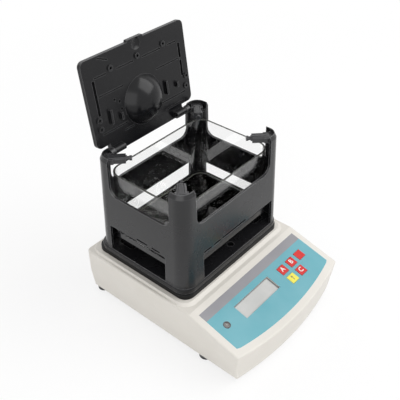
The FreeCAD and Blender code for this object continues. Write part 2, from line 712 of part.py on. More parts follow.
def panel_outline(top):
    """Outline of the overlay from a distance below the fold down to its bowed edge."""
    half = "overlay_half"
    nick = "(overlay_half - overlay_nick)"
    low = "(overlay_side + overlay_nick / 2)"
    return [(neg(half), down("overlay_side")), (neg(nick), neg(low), "overlay_radius"), (nick, neg(low)),
            (half, down("overlay_side")), (half, down(top)), (neg(half), down(top))]


def panel_cutter():
    """Openings through the sloped panel and the recess for the overlay."""
    piece = Piece("panel_cutter")
    recess = piece.draw("recess_outline", [panel_outline("header_top")], at=neg("recess_depth"))
    piece.pad("recess", recess, "3")
    holes = [display_window("0")] + [key_window(key, "key_clearance") for key in KEYS]
    holes.append(ring_of("level_x", down("level_down"), "level_radius"))
    piece.pad("openings", piece.draw("opening_outlines", holes, at="-2 * wall"), "2 * wall")
    on_panel(piece)
    return piece.body


def board_posts():
    """Posts under the sloped panel that hold the key board."""
    piece = Piece("board_posts", several=True)
    places = [(x, slope) for x in ("window_x1 + 9.6", "overlay_half - 7.8") for slope in ("24", "48")]
    circles = [ring_of(x, down(slope), "2.5") for x, slope in places]
    piece.pad("posts", piece.draw("post_circles", circles, at="-wall - 2"), "2.5")
    on_panel(piece)
    return piece.body


def rear_cutter():
    """Openings in the rear wall for the power inlet and the data socket."""
    piece = Piece("rear_cutter", several=True)
    jack = ring_of("-inlet_left", "inlet_height", "inlet_radius + 0.2")
    socket = around("socket_right", "socket_height", "socket_width", "socket_rise")
    piece.pad("inlets", piece.draw("inlet_outlines", [jack, socket], "XZ_Plane", "rear_y + 5"), "14")
    return piece.body


def housing():
    """Upper and lower shells, split at the seam."""
    outer = housing_form("housing_outer", "0", "housing_base", "housing_height")
    outer.dress("Fillet", "outer_rounding", "housing_rounding", outer_edges)
    cavity = housing_form("housing_cavity", "wall", "housing_base + floor_thickness", "housing_height - wall")
    seam = doc.addObject("Part::Box", "seam_block")
    for prop, text in (("Length", "2 * housing_width"), ("Width", "2 * housing_length"),
                       ("Height", "seam_height"), ("Placement.Base.x", "-housing_width"),
                       ("Placement.Base.y", "-housing_length")):
        bind(seam, prop, text)
    tubes, screws = screw_bosses()
    top_openings = turned("top_openings", riser_places(),
                          [("housing_height - 2 * wall", "deck_z + 1", "riser_radius + riser_clearance")])
    screw_openings = turned("screw_openings", deck_screw_places(),
                            [("housing_height - 2 * wall", "deck_z + 1", "1.7")])
    shell = boolean("MultiFuse", "upper_form", outer.body, [platform()])
    hollow = boolean("Cut", "upper_shell", shell, [cavity.body, seam])
    raised = boolean("MultiFuse", "upper_ribs", hollow, tubes + [board_posts()])
    keep(boolean("Cut", "housing_top", raised, [top_openings.body, screw_openings.body, panel_cutter(),
                                                rear_cutter()]))

    tray = boolean("Common", "lower_form", outer.body, [seam])
    feet = foot_places()
    bosses = turned("foot_bosses", feet,
                    [("housing_base", "housing_base + bush_height", "bush_radius + bush_wall")])
    bores = turned("floor_bores", feet, [("0", "housing_base + bush_height + 1", "bush_radius")])
    holes = turned("floor_screw_holes", screws, [("0", "seam_height", "boss_screw")])
    sinks = turned("floor_screw_sinks", screws, [("0", "housing_base + 2", "3.2")])
    stands = turned("board_stands", board_screws(), [("chassis_z - 1", "board_z", "3.0")])
    hollow = boolean("Cut", "lower_shell", tray, [cavity.body])
    raised = boolean("MultiFuse", "lower_ribs", hollow, [bosses.body, stands.body])
    keep(boolean("Cut", "housing_bottom", raised, [bores.body, holes.body, sinks.body]))
    turned("housing_screws", screws, [("housing_base + 0.2", "housing_base + 2", "3.0"),
                                      ("housing_base + 2", "seam_height + 12", "boss_screw")]).keep()


def foot_places():
    return [(signed(sign, "foot_x"), y) for sign in SIGNS for y in ("foot_fore", "foot_back")]


def board_screws():
    return [(signed(sign, "board_half - 6"), y) for sign in SIGNS
            for y in ("front_y + board_front + 6", "fold_y + board_rear - 6")]


# ---- deck, measuring frame --------------------------------------------------------------

def leg_places():
    return [(signed(sign, "leg_x"), "leg_" + end) for sign in SIGNS for end in ENDS]


def deck_plate():
    piece = Piece("deck_plate")
    plan = rounded("-deck_half", "deck_half", "deck_front", "deck_rear", "deck_corner")
    holes = [ring_of(x, y, "riser_radius + riser_clearance") for x, y in riser_places()]
    holes += [ring_of(x, y, "1.7") for x, y in leg_places()]
    piece.pad("plate", piece.draw("plate_outline", [plan] + holes, at="deck_z"), "deck_thickness")
    rim = value("deck_top") - 0.01
    half = value("deck_half")
    piece.dress("Fillet", "rim_rounding", "1.2",
                lambda edge: edge.BoundBox.ZMin > rim and (edge.BoundBox.XMax > half - 12 or
                                                           edge.BoundBox.XMin < 12 - half)
                and edge.BoundBox.XLength + edge.BoundBox.YLength > 14)
    sinks = [ring_of(x, y, "3.6") for x, y in leg_places()]
    piece.pocket("screw_sinks", piece.draw("sink_circles", sinks, at="deck_z"), "2.5", back=True)
    threads = [ring_of(x, y, "1.7") for x, y in deck_screw_places()]
    piece.pocket("screw_threads", piece.draw("thread_circles", threads, at="deck_z"), "4.5", back=True)
    piece.keep()
    turned("deck_screws", deck_screw_places(),
           [("housing_height - wall - 2.2", "housing_height - wall", "3.4"),
            ("housing_height - wall", "deck_z + 4", "1.7")]).keep()
    turned("stand_screws", leg_places(), [("deck_z + 0.3", "deck_z + 2.5", "3.4"),
                                          ("deck_z + 2.5", "deck_top + 9", "1.7")]).keep()


def wall_section(level, inset="0"):
    """Plan outline of the frame's leaning walls, at its foot or at its head."""
    half = minus(level + "_half", inset)
    return rounded(neg(half), half, plus(level + "_y0", inset), minus(level + "_y1", inset),
                   minus(level + "_corner", inset))


def saddle(low, high):
    """Gap between two posts, round at the bottom, open at the top."""
    over = "frame_top + 5"
    return [(plus(low, "saddle_radius"), "saddle_z"),
            (minus(high, "saddle_radius"), "saddle_z", "saddle_radius"),
            (high, "saddle_z + saddle_radius"), (high, over), (low, over),
            (low, "saddle_z + saddle_radius", "saddle_radius")]


def window(low, high):
    """Window in a wall: square on the floor, rounded at the top."""
    return [(low, "flange_top"), (high, "flange_top"), (high, "window_z - window_corner", "window_corner"),
            (minus(high, "window_corner"), "window_z"),
            (plus(low, "window_corner"), "window_z", "window_corner"),
            (low, "window_z - window_corner")]


def arm_seat(x_sign, end):
    """Outline of the web in a post's head, outside a chord, and the screw hole through it."""
    way_x = -1 if x_sign == "-" else 1
    way_y = -1 if end == "y0" else 1
    radius = "(seat_radius + shell / 3)"
    half_chord = "sqrt(%s * %s - seat_chord * seat_chord)" % (radius, radius)

    def place(out, aside):
        """Point given by its distance from the post's axis, towards the corner and across."""
        across = "sqrt(0.5) * ((%d) * (%s) + (%d) * (%s))" % (way_x, out, way_y, aside)
        along = "sqrt(0.5) * ((%d) * (%s) - (%d) * (%s))" % (way_y, out, way_x, aside)
        return plus(signed(x_sign, "post_x"), across), plus("post_" + end, along)

    outline = [place("seat_chord", half_chord) + (radius,), place(radius, "0") + (radius,),
               place("seat_chord", neg(half_chord))]
    return outline, ring_of(*place("arm_screw_offset", "0"), "arm_screw_radius")


def measuring_frame():
    """Moulded frame: a floor, four leaning walls with windows, and four hollow corner posts."""
    piece = Piece("measuring_frame")
    flange = rounded("-flange_half", "flange_half", "flange_y0", "flange_y1", "flange_corner")
    leg_holes = [rounded(minus(x, "leg_side / 2 + leg_clearance"), plus(x, "leg_side / 2 + leg_clearance"),
                         minus(y, "leg_depth / 2 + leg_clearance"), plus(y, "leg_depth / 2 + leg_clearance"),
                         "leg_clearance") for x, y in leg_places()]
    drain = ring_of("drain_side", "flange_y0 + drain_front", "drain_radius")
    piece.pad("flange", piece.draw("flange_outline", [flange], at="flange_z"), "flange_thickness")
    piece.dress("Fillet", "flange_edge", "flange_rounding",
                lambda edge: edge.BoundBox.ZMin > value("flange_top") - 0.01)

    foot = piece.draw("wall_foot", [wall_section("foot")], at="flange_top - 1")
    head = piece.draw("wall_head", [wall_section("head")], at="bevel_z")
    piece.loft("AdditiveLoft", "walls", foot, head)
    rim = piece.draw("rim_outline", [wall_section("head")], at="bevel_z")
    piece.pad("rim", rim, "head_bevel_height", taper="-head_bevel_angle")
    inner_foot = piece.draw("room_foot", [wall_section("foot", "shell")], at="flange_top")
    inner_head = piece.draw("room_head", [wall_section("head", "shell")], at="frame_top + 1")
    piece.loft("SubtractiveLoft", "room", inner_foot, inner_head)
    piece.pocket("floor_openings", piece.draw("floor_outlines", leg_holes + [drain], at="flange_z - 1"),
                 "flange_thickness + 2", back=True)

    side_gap = saddle("post_y0 + post_leg", "post_y1 - post_leg")
    end_gap = saddle("-(post_x - post_leg)", "post_x - post_leg")
    side_window = window("post_y0 + side_window_front", "post_y1 - side_window_rear")
    end_window = window("-(post_x - front_window_left)", "post_x - front_window_right")
    piece.pocket("side_openings", piece.draw("side_profile", [side_gap, side_window], "YZ_Plane"), both=True)
    piece.pocket("end_openings", piece.draw("end_profile", [end_gap, end_window], "XZ_Plane"), both=True)
    window_pockets(piece)

    seats = [outline for x_sign in SIGNS for end in ENDS for outline in arm_seat(x_sign, end)]
    piece.pad("seats", piece.draw("seat_outlines", seats, at="seat_z - seat_thickness"), "seat_thickness")
    hinge_ears(piece)
    sockets = [ring_of(x, y, "spigot_radius") for x, y in riser_places()]
    sketch = piece.draw("socket_circles", sockets, at="flange_z")
    piece.pocket("riser_sockets", sketch, "spigot_length", back=True)
    piece.keep()


def window_pockets(piece):
    """Rows of shallow pockets in the outer faces over the windows."""
    low = "window_z + pocket_rise"
    high = plus(low, "pocket_height")
    side = [rectangle("post_y0 + %s" % start, "post_y0 + %s" % end, low, high) for start, end in SIDE_POCKETS]
    front = [rectangle("%s - post_x" % start, "%s - post_x" % end, low, high) for start, end in FRONT_POCKETS]
    lean = "side_lean * (window_height + pocket_rise) / frame_height"
    for sign, back in (("-", True), ("", False)):
        sketch = piece.draw("side_pockets", side, "YZ_Plane", signed(sign, "foot_half"))
        piece.pocket("side_pocket", sketch, plus(lean, "pocket_depth"), back=back)
    lean = "front_lean * (window_height + pocket_rise) / frame_height"
    sketch = piece.draw("front_pockets", front, "XZ_Plane", "foot_y0")
    piece.pocket("front_pocket", sketch, plus(lean, "pocket_depth"))


def hinge_ears(piece):
    """Ears on the rear posts that hold the hinge pins."""
    low, high = "hinge_z - ear_radius", "hinge_z + ear_radius"
    back = "head_y1 - shell / 2"
    profile = [(back, low), (back, high), ("hinge_y", high, "ear_radius"), ("hinge_y - ear_radius", "hinge_z",
               "ear_radius"), ("hinge_y", low)]
    for sign, back_way in (("-", True), ("", False)):
        sketch = piece.draw("ear_profile", [profile], "YZ_Plane", signed(sign, "hinge_half + ear_gap"))
        piece.pad("ear", sketch, "ear_length", back=back_way)
    pin = piece.draw("pin_hole", [ring_of("hinge_y", "hinge_z", "pin_radius")], "YZ_Plane")
    piece.pocket("pin_holes", pin, "2 * (hinge_half + ear_gap + ear_length)", both=True)


def corner_arms():
    """An arm in each post's head: a half-round plug, a block and a stud to hang things on."""
    for name, x_sign, end, angle in CORNERS:
        piece = Piece("corner_arm_" + name)
        radius = "(seat_radius - plug_clearance)"
        half = "arm_width / 2"
        flank = "sqrt(%s * %s - plug_half * plug_half)" % (radius, radius)
        plug = [("0", "plug_half"), (neg(flank), "plug_half", radius), (neg(flank), "-plug_half"),
                ("0", "-plug_half")]
        piece.pad("plug", piece.draw("plug_outline", [plug]), "plug_height")
        block = [(neg(half), "0"), (half, "0"), (half, "arm_height - arm_bevel"),
                 ("arm_width / 2 - arm_bevel", "arm_height"), ("arm_bevel - arm_width / 2", "arm_height"),
                 (neg(half), "arm_height - arm_bevel")]
        piece.pad("block", piece.draw("block_profile", [block], "YZ_Plane", "-seat_radius / 2"),
                  "arm_reach + seat_radius / 2")
        for side in SIGNS:
            middle = signed(side, "arm_width / 4")
            groove = rectangle(minus(middle, "arm_groove / 2"), plus(middle, "arm_groove / 2"),
                               "arm_height - 0.7", "arm_height + 1")
            piece.pocket("groove", piece.draw("groove_profile", [groove], "YZ_Plane", "arm_reach + 1"),
                         "arm_reach + 1 + seat_radius / 4")
        start = "arm_reach"
        for step in ("collar", "neck", "stud"):
            circle = ring_of("0", "arm_axis", step + "_radius")
            piece.pad(step, piece.draw(step + "_circle", [circle], "YZ_Plane", start), step + "_length")
            start = plus(start, step + "_length")
        thread = ring_of("-arm_screw_offset", "0", "arm_screw_radius")
        piece.pocket("screw_hole", piece.draw("thread_circle", [thread]), "4.5", back=True)
        piece.place(signed(x_sign, "post_x"), "post_y" + end, "seat_z", angle=str(angle))
        piece.keep()
    places = [arm_seat(x_sign, "y" + end)[1][0][:2] for name, x_sign, end, angle in CORNERS]
    turned("arm_screws", places, [("seat_z - seat_thickness - 1.5", "seat_z - seat_thickness", "1.9"),
                                  ("seat_z - seat_thickness", "seat_z + 4", "arm_screw_radius")]).keep()


def hinge_pins():
    piece = Piece("hinge_pins", several=True)
    for sign, back in (("-", False), ("", True)):
        circle = ring_of("hinge_y", "hinge_z", "pin_radius")
        outer = signed(sign, "hinge_half + ear_gap + ear_length")
        piece.pad("pin", piece.draw("pin_circle", [circle], "YZ_Plane", outer),
                  "ear_length + ear_gap + pin_engagement", back=back)
    piece.keep()


# ---- tank and its stand -----------------------------------------------------------------

def tank_stand():
    """Tray with a lip, ribs and four legs that stand on the deck plate."""
    piece = Piece("tank_stand")
    plate_z = "tank_z - stand_plate"
    corner = "tank_corner + tank_clearance"
    outer = rounded("-stand_half", "stand_half", "stand_y0", "stand_y1", "tank_corner + stand_lip")
    inner = rounded("-(tank_half + tank_clearance)", "tank_half + tank_clearance", "tank_y0 - tank_clearance",
                    "tank_y1 + tank_clearance", corner)
    drains = []
    for x in ("tank_half - cluster_right", "cluster_left - tank_half"):
        for y in ("stand_y1 - cluster_rear", "stand_y1 - cluster_rear - cluster_pitch"):
            for dx, dy in (("1", "0"), ("0", "1"), ("-1", "0"), ("0", "-1")):
                drains.append(ring_of("%s + (%s) * cluster_radius" % (x, dx),
                                      "%s + (%s) * cluster_radius" % (y, dy), "cluster_hole"))
    piece.pad("plate", piece.draw("plate_outline", [outer] + drains, at=plate_z), "stand_plate")
    piece.pad("lip", piece.draw("lip_outline", [outer, inner], at="tank_z"), "stand_lip_height")
    legs = [rectangle(minus(x, "leg_side / 2"), plus(x, "leg_side / 2"), minus(y, "leg_depth / 2"),
                      plus(y, "leg_depth / 2")) for x, y in leg_places()]
    piece.pad("legs", piece.draw("leg_outlines", legs, at="deck_top"), minus(plate_z, "deck_top"))
    ribs = [rectangle(signed(sign, "leg_x"), plus(signed(sign, "leg_x"), "rib_thickness"), "leg_y0", "leg_y1")
            for sign in SIGNS]
    piece.pad("ribs", piece.draw("rib_outlines", ribs, at=minus(plate_z, "rib_depth")), "rib_depth")
    bores = [ring_of(x, y, "1.7") for x, y in leg_places()]
    piece.pocket("screw_bores", piece.draw("bore_circles", bores, at="deck_top"), "10", back=True)
    piece.keep()


def water_tank():
    piece = Piece("water_tank")
    outer = rounded("-tank_half", "tank_half", "tank_y0", "tank_y1", "tank_corner")
    inner = rounded("tank_wall - tank_half", "tank_half - tank_wall", "tank_y0 + tank_wall",
                    "tank_y1 - tank_wall", "tank_corner - tank_wall")
    piece.pad("block", piece.draw("outer_outline", [outer], at="tank_z"), "tank_height")
    room = piece.draw("inner_outline", [inner], at="tank_z + tank_wall")
    piece.pocket("room", room, "tank_height", back=True)
    rim = value("tank_z + tank_height") - 0.01
    piece.dress("Fillet", "rim_rounding", "tank_wall / 4", lambda edge: edge.BoundBox.ZMin > rim)
    piece.keep()


# ---- lid --------------------------------------------------------------------------------
# drawn with the hinge axis along X at the origin, Y towards the finger tab and Z out of the
# underside, then turned to the open position

def lid():
    """Flat lid with hinge knuckles, a weighing dish and the underside's clips and grooves."""
    piece = Piece("lid")
    top = "-(lid_offset + lid_thickness)"
    panel = rounded("-lid_half", "lid_half", "lid_root", "lid_tip", "lid_corner")
    piece.pad("panel", piece.draw("panel_outline", [panel], at=top), "lid_thickness")
    tab = [("tab_shift - tab_half - 2", "lid_tip - 2"), ("tab_shift + tab_half + 2", "lid_tip - 2"),
           ("tab_shift + tab_half", "lid_tip + tab_reach"), ("tab_shift - tab_half", "lid_tip + tab_reach")]
    piece.pad("tab", piece.draw("tab_outline", [tab], at=top), "lid_thickness")
    web = rectangle(neg("web_reach"), "lid_root + 1", top, "-lid_offset")
    piece.pad("web", piece.draw("web_profile", [web], "YZ_Plane"), "2 * hinge_half", both=True)
    neck = rectangle(neg("hinge_radius"), "hinge_radius", top, "0")
    for sign, back in (("-", False), ("", True)):
        for name, outline in (("neck", neck), ("knuckle", ring_of("0", "0", "hinge_radius"))):
            sketch = piece.draw(name + "_outline", [outline], "YZ_Plane", signed(sign, "hinge_half"))
            piece.pad(name, sketch, "knuckle_length", back=back)
    edge_z = value(top) + 0.01
    root = value("lid_root") + 0.5
    piece.dress("Fillet", "edge_rounding", "1.0",
                lambda edge: edge.BoundBox.ZMax < edge_z and edge.BoundBox.YMin > root)
    bore = ring_of("0", "0", "pin_radius + pin_fit")
    piece.pocket("pin_bore", piece.draw("bore_circle", [bore], "YZ_Plane"), both=True)
    dish(piece)
    underside(piece)
    piece.place("0", "hinge_y", "hinge_z", "vector(1; 0; 0)", "180 - lid_angle")
    piece.keep()


def dish(piece):
    """Round dish that bulges from the underside and is open on the top side."""
    level = "-lid_offset"
    crown = "dish_depth - lid_offset"
    bulge = [("0", "-lid_offset - 1"), ("dish_radius", "-lid_offset - 1"),
             ("dish_radius", level, "dish_sphere"), ("0", crown)]
    piece.turn("Revolution", "dish_bulge", piece.draw("bulge_profile", [bulge], "XZ_Plane", "dish_distance"))
    inner = "(dish_sphere - dish_wall)"
    mouth = "-(lid_offset + lid_thickness + 0.5)"
    reach = "sqrt(%s * %s - (%s - dish_centre) * (%s - dish_centre))" % (inner, inner, mouth, mouth)
    bowl = [("0", mouth), (reach, mouth, inner), ("0", plus("dish_centre", inner))]
    piece.turn("Groove", "dish_bowl", piece.draw("bowl_profile", [bowl], "XZ_Plane", "dish_distance"))


def underside(piece):
    """Grooves, slots, small bosses, clips and the finger scoop."""
    level = "-lid_offset"
    fine = [rectangle(x0, x1, minus(s, "line_width / 2"), plus(s, "line_width / 2")) for x0, x1, s in LINES]
    fine.append(list(NOTCH))
    piece.pocket("fine_grooves", piece.draw("line_outlines", fine, at=level), "line_depth")
    wide = [rectangle(minus(x, "slot_width / 2"), plus(x, "slot_width / 2"), s0, s1)
            for x, s0, s1 in WIDE_SLOTS]
    wide += [rectangle("%s + hook_width / 2" % x, "%s + 4 * hook_width / 3" % x, "%s + hook_width" % s0,
                       "%s - hook_width" % s1) for x, s0, s1 in CLIPS]
    wide += [ring_of(str(x), str(s), "dot_radius") for x, s in DOTS]
    piece.pocket("wide_slots", piece.draw("slot_outlines", wide, at=level), "slot_depth")
    bosses = [ring_of(x, s, "ring_outer") for x, s in RINGS]
    piece.pad("bosses", piece.draw("boss_circles", bosses, at=level), "ring_height")
    holes = [ring_of(x, s, "ring_inner") for x, s in RINGS]
    piece.pocket("boss_holes", piece.draw("hole_circles", holes, at="ring_height - lid_offset"),
                 "ring_height + 1")
    clips = [rectangle("%s - hook_width / 2" % x, "%s + hook_width / 2" % x, str(s0), str(s1))
             for x, s0, s1 in CLIPS]
    piece.pad("clips", piece.draw("clip_outlines", clips, at=level), "hook_height")
    profile = [("0", "-lid_offset + 1"), ("0", "-lid_offset - scoop_depth", "scoop_sphere"),
               ("scoop_radius", level), ("scoop_radius", "-lid_offset + 1")]
    sketch = piece.draw("scoop_profile", [profile], "XZ_Plane", "lid_tip - scoop_inset")
    bind(sketch, "AttachmentOffset.Base.x", "tab_shift")
    piece.turn("Groove", "scoop", sketch)


# ---- panel ------------------------------------------------------------------------------

def panel():
    """Overlay, header strip, display, keys and level on the sloped panel."""
    overlay = Piece("panel_overlay")
    openings = [display_window("0")] + [key_window(key, "key_clearance") for key in KEYS]
    openings.append(ring_of("level_x", down("level_down"), "level_radius"))
    overlay.pad("film", overlay.draw("film_outline", [panel_outline("header_bottom")] + openings,
                                     at="-recess_depth"), "overlay_thickness")
    on_panel(overlay)
    overlay.keep()

    header = Piece("header_strip")
    strip = rectangle("-overlay_half", "overlay_half", down("header_bottom"), down("header_top"))
    header.pad("strip", header.draw("strip_outline", [strip], at="-recess_depth"), "overlay_thickness")
    on_panel(header)
    header.keep()

    window = Piece("display_window")
    window.pad("pane", window.draw("pane_outline", [display_window(neg("window_clearance"))], at="-wall"),
               "wall - window_sink")
    on_panel(window)
    window.keep()

    display = Piece("display_module")
    display.pad("frame", display.draw("frame_outline", [display_window("4.5")], at="-wall - 4"), "4")
    board = display.draw("board_outline", [display_window("6")], at="-wall - 4 - board_thickness")
    display.pad("board", board, "board_thickness")
    on_panel(display)
    display.keep()
    keys()

    ring = Piece("level_ring")
    circle = ring_of("level_x", down("level_down"), "level_radius - 0.1")
    ring.pad("cup", ring.draw("cup_circle", [circle], at="-6"), "6.3")
    bore = ring_of("level_x", down("level_down"), "level_radius - 1.1")
    ring.pocket("cup_room", ring.draw("room_circle", [bore], at="0.5"), "5.5")
    on_panel(ring)
    ring.keep()
    vial = Piece("level_vial")
    glass = ring_of("level_x", down("level_down"), "level_radius - 1.1")
    vial.pad("glass", vial.draw("glass_circle", [glass], at="-5"), "4.8")
    on_panel(vial)
    vial.keep()


def keys():
    """Five keys that travel a little in their openings, over domes on a board."""
    for key in KEYS:
        piece = Piece(key)
        piece.pad("cap", piece.draw("cap_outline", [key_window(key, "0")], at="-wall - 0.1"),
                  "wall + 0.1 + key_rise")
        flange = piece.draw("flange_outline", [key_window(key, "key_flange")], at="-wall - 0.9")
        piece.pad("flange", flange, "0.8")
        on_panel(piece)
        piece.dress("Fillet", "cap_rounding", "0.3", is_cap_edge)
        piece.keep()
    board = Piece("key_board")
    outline = rectangle("window_x1 + 6.6", "overlay_half - 4.8", down("51"), down("21"))
    sketch = board.draw("board_outline", [outline], at="-wall - 2 - board_thickness")
    board.pad("board", sketch, "board_thickness")
    on_panel(board)
    board.keep()
    domes = Piece("key_domes", several=True)
    circles = [ring_of(x, down(slope), "3.5") for x, slope in KEYS.values()]
    domes.pad("domes", domes.draw("dome_circles", circles, at="-wall - 2"), "0.6")
    on_panel(domes)
    domes.keep()


def is_cap_edge(edge):
    """Edge round a key's top, in the body's own frame."""
    return all(abs(vertex.Point.z - value("key_rise")) < 0.01 for vertex in edge.Vertexes)


# ---- inner works ------------------------------------------------------------------------

def weighing_gear():
    """Chassis, load cell and the carrier that lifts the frame's weight onto it."""
    half = "cell_length / 2"
    chassis = Piece("base_chassis")
    plate = rounded("-chassis_half", "chassis_half", "middle_y - chassis_front", "middle_y + chassis_rear",
                    "4")
    screws = [(signed(sign, "chassis_half - chassis_screw_inset"), "middle_y %s chassis_screw_depth" % way)
              for sign in SIGNS for way in ("-", "+")]
    holes = [ring_of(x, y, "1.7") for x, y in screws]
    chassis.pad("plate", chassis.draw("plate_outline", [plate] + holes, at="chassis_z"), "chassis_thickness")
    chassis.keep()
    turned("chassis_screws", screws, [("chassis_z", "spacer_z", "1.7"),
                                      ("spacer_z", "spacer_z + 2.2", "3.4")]).keep()

    spacer = Piece("cell_spacer")
    sides = ("middle_y - cell_width / 2", "middle_y + cell_width / 2")
    under = rectangle(neg(half), "clamp_length - cell_length / 2", *sides)
    spacer.pad("block", spacer.draw("block_outline", [under], at="spacer_z"), "spacer_height")
    spacer.keep()

    cell = Piece("load_cell")
    beam = rectangle(neg(half), half, *sides)
    cell.pad("beam", cell.draw("beam_outline", [beam], at="cell_z"), "cell_height")
    middle = "cell_z + cell_height / 2"
    slit = around("0", middle, "2 * eye_offset", "eye_slit")
    rings = [ring_of(signed(sign, "eye_offset"), middle, "eye_radius") for sign in SIGNS]
    cell.pocket("eyes", cell.draw("eye_circles", rings, "XZ_Plane"), both=True)
    cell.pocket("slit", cell.draw("slit_outline", [slit], "XZ_Plane"), both=True)
    cell.keep()

    head = Piece("carrier_spacer")
    over = rectangle("cell_length / 2 - clamp_length", half, *sides)
    head.pad("block", head.draw("block_outline", [over], at="cell_z + cell_height"), "carrier_gap")
    head.keep()

    carrier = Piece("carrier_plate")
    plan = rounded("-(riser_x + 8)", half, "middle_y - riser_depth - 8", "middle_y + riser_depth + 8", "6")
    room = rounded("-(riser_x - 10)", "riser_x - 14", "middle_y - riser_depth + 10",
                   "middle_y + riser_depth - 10", "5")
    carrier.pad("plate", carrier.draw("plate_outline", [plan, room], at="carrier_z"), "carrier_thickness")
    carrier.keep()
    turned("carrier_risers", riser_places(),
           [("riser_z", "flange_z", "riser_radius"),
            ("flange_z", "flange_z + spigot_length", "spigot_radius")]).keep()


def electronics():
    """Main board, power inlet and data socket."""
    board = Piece("main_board")
    plan = rectangle("-board_half", "board_half", "front_y + board_front", "fold_y + board_rear")
    board.pad("board", board.draw("board_outline", [plan], at="board_z"), "board_thickness")
    chips = [rectangle("-30", "-12", "front_y + 32", "front_y + 50"), rectangle("6", "16", "front_y + 36",
             "front_y + 50"), rectangle("26", "44", "fold_y - 14", "fold_y - 2")]
    board.pad("chips", board.draw("chip_outlines", chips, at=plus("board_z", "board_thickness")), "3")
    board.keep()

    jack = Piece("power_inlet")
    body = around("-inlet_left", "inlet_height", "2.5 * inlet_radius", "3 * inlet_radius")
    jack.pad("body", jack.draw("body_outline", [body], "XZ_Plane", "rear_y - wall - rear_undercut"), "12")
    barrel, bore = (ring_of("-inlet_left", "inlet_height", radius)
                    for radius in ("inlet_radius", "inlet_bore"))
    jack.pad("barrel", jack.draw("barrel_circle", [barrel], "XZ_Plane", "rear_y"), "wall + rear_undercut")
    jack.pocket("bore", jack.draw("bore_circle", [bore], "XZ_Plane", "rear_y - 9"), "10")
    jack.keep()

    socket = Piece("data_socket")
    body = around("socket_right", "socket_height", "socket_width + 14", "socket_rise + 3")
    inside = "rear_y - wall - rear_undercut"
    socket.pad("flange", socket.draw("flange_outline", [body], "XZ_Plane", inside), "2")
    rear = around("socket_right", "socket_height", "socket_width", "socket_rise")
    socket.pad("body", socket.draw("rear_outline", [rear], "XZ_Plane", minus(inside, "2")), "9")
    low, high = "socket_height + 1 - socket_rise / 2", "socket_height - 1 + socket_rise / 2"
    shell = [("socket_right + 1.5 - socket_width / 2", low), ("socket_right - 1.5 + socket_width / 2", low),
             ("socket_right - 0.5 + socket_width / 2", high), ("socket_right + 0.5 - socket_width / 2", high)]
    socket.pad("shell", socket.draw("shell_outline", [shell], "XZ_Plane", "rear_y"), "wall + rear_undercut")
    socket.keep()


def feet():
    """Four levelling feet: a rubber pad, a foot screw with a thumb wheel, and its bush."""
    turned("foot_bushes", foot_places(), [("housing_base", "housing_base + bush_height", "bush_radius")],
           [("housing_base - 1", "housing_base + bush_height + 1", "thread_radius + thread_fit")]).keep()
    for name, x_sign, end, angle in CORNERS:
        place = [(signed(x_sign, "foot_x"), "foot_back" if end == "1" else "foot_fore")]
        turned("foot_pad_" + name, place, [("0", "foot_pad_height", "foot_radius")],
               [("1", "foot_pad_height + 1", "2 + thread_fit")]).keep()
        wheel = plus("foot_pad_height", "foot_wheel_height")
        turned("foot_screw_" + name, place, [("1.2", "foot_pad_height", "2"), ("foot_pad_height", wheel,
               "foot_wheel_radius"), (wheel, plus(wheel, "foot_screw_length"), "thread_radius")]).keep()


# ---- build and write --------------------------------------------------------------------

housing()
deck_plate()
measuring_frame()
corner_arms()
hinge_pins()
tank_stand()
water_tank()
lid()
panel()
weighing_gear()
electronics()
feet()
doc.recompute()

failed = [thing.Name for thing in doc.Objects if {"Invalid", "Error"} & set(thing.State)]
assert not failed, "these did not build: %s" % failed
for part in parts:
    assert not part.Shape.isNull() and part.Shape.isValid(), "%s has no valid shape" % part.Label

os.makedirs("parts", exist_ok=True)
for part in parts:
    part.Shape.exportStep("parts/%s.step" % part.Label)
print("%d sub-parts" % len(parts))
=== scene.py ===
"""Materials, key signs, light and camera for the benchtop density meter. Metres, +Z up."""
import math

import bmesh
import bpy
from mathutils import Matrix, Vector

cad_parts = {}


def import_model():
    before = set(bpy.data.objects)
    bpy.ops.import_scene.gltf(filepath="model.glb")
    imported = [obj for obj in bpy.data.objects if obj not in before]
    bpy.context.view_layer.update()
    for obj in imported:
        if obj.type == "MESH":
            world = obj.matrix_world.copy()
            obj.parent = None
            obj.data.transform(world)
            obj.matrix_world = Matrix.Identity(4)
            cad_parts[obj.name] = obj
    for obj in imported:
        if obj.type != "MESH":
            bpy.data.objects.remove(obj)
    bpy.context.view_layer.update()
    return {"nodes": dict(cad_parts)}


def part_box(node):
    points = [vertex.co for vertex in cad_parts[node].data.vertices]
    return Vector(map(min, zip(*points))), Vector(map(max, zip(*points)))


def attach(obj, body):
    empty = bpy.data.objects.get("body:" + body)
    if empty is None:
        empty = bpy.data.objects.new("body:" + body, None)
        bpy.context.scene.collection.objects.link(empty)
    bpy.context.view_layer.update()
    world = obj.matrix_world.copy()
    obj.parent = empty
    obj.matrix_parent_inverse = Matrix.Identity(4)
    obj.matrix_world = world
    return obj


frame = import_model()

NODES = frame["nodes"]

# The control panel slopes down towards the nose.
TILT = math.radians(15.36)
DOWN_SLOPE = Vector((0, -math.cos(TILT), -math.sin(TILT)))
OUT_OF_PANEL = Vector((0, -math.sin(TILT), math.cos(TILT)))
RIGHT = Vector((1, 0, 0))
UP = Vector((0, 0, 1))


def box_of(name):
    """Lowest and highest corner of a node."""
    low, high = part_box(name)
    return Vector(low), Vector(high)


def on_top(name):
    """Middle of the face that a node of the sloped panel shows."""
    low, high = box_of(name)
    middle = (low + high) / 2
    top = max(vertex.co.dot(OUT_OF_PANEL) for vertex in NODES[name].data.vertices)
    return middle + OUT_OF_PANEL * (top - middle.dot(OUT_OF_PANEL))


# ---- shader building ------------------------------------------------------------------------

